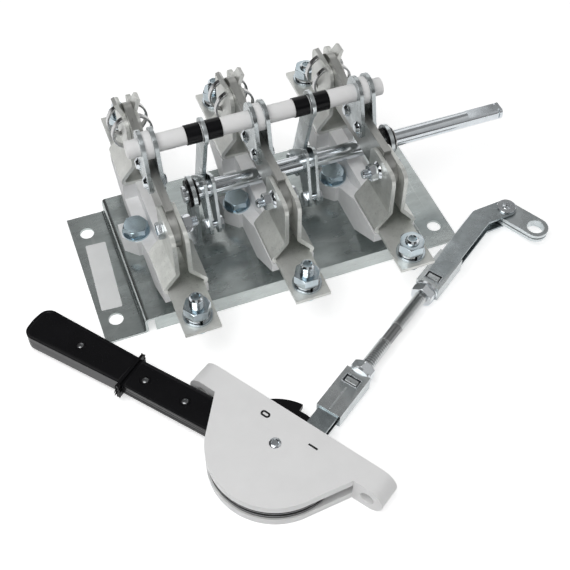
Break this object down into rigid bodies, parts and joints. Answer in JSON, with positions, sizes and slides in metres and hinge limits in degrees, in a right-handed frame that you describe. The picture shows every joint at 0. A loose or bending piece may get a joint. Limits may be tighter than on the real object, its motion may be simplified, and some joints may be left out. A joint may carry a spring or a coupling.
{
  "type": "substation disconnect switch",
  "caption": "Open knife disconnect switch on a folded base plate: jaw contacts on insulators, blades joined by a crossbar, a crank shaft, and a lever drive with its rod beside it.",
  "frame": {"origin": "centre of the base plate's mounting holes, on the mounting face", "axes": "+X along the drive shaft towards its free end, +Y from the hinges to the blade tips, +Z away from the mounting face"},
  "size_m": [0.4005, 0.378, 0.13],
  "materials": {
    "zinc_sheet": "smooth galvanised sheet",
    "moulded_grey": "moulded insulating resin, fine matt grain",
    "tinned_sheet": "dull tinned copper sheet",
    "blade_metal": "dull tinned bar",
    "plated_sheet": "zinc-plated sheet",
    "bright_zinc": "bright zinc plating",
    "blue_zinc": "blue passivated zinc plating",
    "spring_steel": "plated spring steel",
    "white_plastic": "smooth white plastic",
    "black_plastic": "smooth black plastic"
  },
  "bodies": {
    "switch_base": {"base_plate": "zinc_sheet", "insulator_left": "moulded_grey", "insulator_middle": "moulded_grey", "insulator_right": "moulded_grey", "front_contact_left": "tinned_sheet", "front_contact_middle": "tinned_sheet", "front_contact_right": "tinned_sheet", "rear_contact_left": "tinned_sheet", "rear_contact_middle": "tinned_sheet", "rear_contact_right": "tinned_sheet", "jaw_springs": "spring_steel", "hinge_bolts": "bright_zinc", "hinge_washers": "bright_zinc", "hinge_nuts": "bright_zinc", "terminal_bolts": "bright_zinc", "terminal_washers": "bright_zinc", "spring_washers": "spring_steel", "terminal_nuts": "bright_zinc", "anchor_bolts": "blue_zinc", "anchor_nuts": "bright_zinc", "bearing_bracket_left": "plated_sheet", "bearing_bracket_right": "plated_sheet", "housing_lower": "white_plastic", "housing_upper": "white_plastic", "housing_ears": "white_plastic", "pivot_pin": "bright_zinc"},
    "knife_set": {"knife_blade_left": "blade_metal", "knife_blade_middle": "blade_metal", "knife_blade_right": "blade_metal", "blade_cheeks": "plated_sheet", "blade_rivets": "bright_zinc", "crossbar": "white_plastic", "spacer_rings": "white_plastic", "bar_sleeves": "black_plastic"},
    "link_pair": {"drive_link_left": "plated_sheet", "drive_link_right": "plated_sheet"},
    "shaft_set": {"drive_shaft": "bright_zinc", "shaft_crank_left": "plated_sheet", "shaft_crank_right": "plated_sheet", "crank_pins": "bright_zinc", "shaft_collars": "black_plastic"},
    "lever_set": {"rotor_disc": "black_plastic", "lever_neck": "black_plastic", "lever_grip": "black_plastic", "clevis_pin": "bright_zinc"},
    "rod_set": {"rod_clevis": "plated_sheet", "threaded_rod": "bright_zinc", "rod_nuts": "bright_zinc", "rod_keys": "bright_zinc", "rod_fork": "plated_sheet", "fork_pin": "bright_zinc"},
    "crank_arm": {"drive_crank": "plated_sheet"}
  },
  "joints": [
    {"name": "blades_swing", "type": "hinge", "parent": "switch_base", "child": "knife_set", "pos_m": [0, -0.047, 0.085], "axis": [1, 0, 0], "range_deg": [0, 45]},
    {"name": "shaft_turn", "type": "hinge", "parent": "switch_base", "child": "shaft_set", "pos_m": [0, 0.004, 0.059], "axis": [1, 0, 0], "range_deg": [0, 81.5]},
    {"name": "link_swing", "type": "hinge", "parent": "knife_set", "child": "link_pair", "pos_m": [0, 0.002, 0.118], "axis": [1, 0, 0], "range_deg": [-20.5, 0]},
    {"name": "lever_turn", "type": "hinge", "parent": "switch_base", "child": "lever_set", "pos_m": [-0.06061, -0.19523, 0.0115], "axis": [0, 0, 1], "range_deg": [0, 75]},
    {"name": "rod_swing", "type": "hinge", "parent": "lever_set", "child": "rod_set", "pos_m": [-0.03467, -0.19342, 0.0115], "axis": [0, 0, 1], "range_deg": [-90, 0]},
    {"name": "crank_swing", "type": "hinge", "parent": "rod_set", "child": "crank_arm", "pos_m": [0.18397, -0.05968, 0.0115], "axis": [0, 0, 1], "range_deg": [-90, 90]}
  ],
  "couplings": [
    {"joint": "shaft_turn", "follows": "blades_swing", "ratio": 1.8},
    {"joint": "link_swing", "follows": "blades_swing", "ratio": -0.45},
    {"joint": "rod_swing", "follows": "lever_turn", "ratio": -1.19}
  ]
}
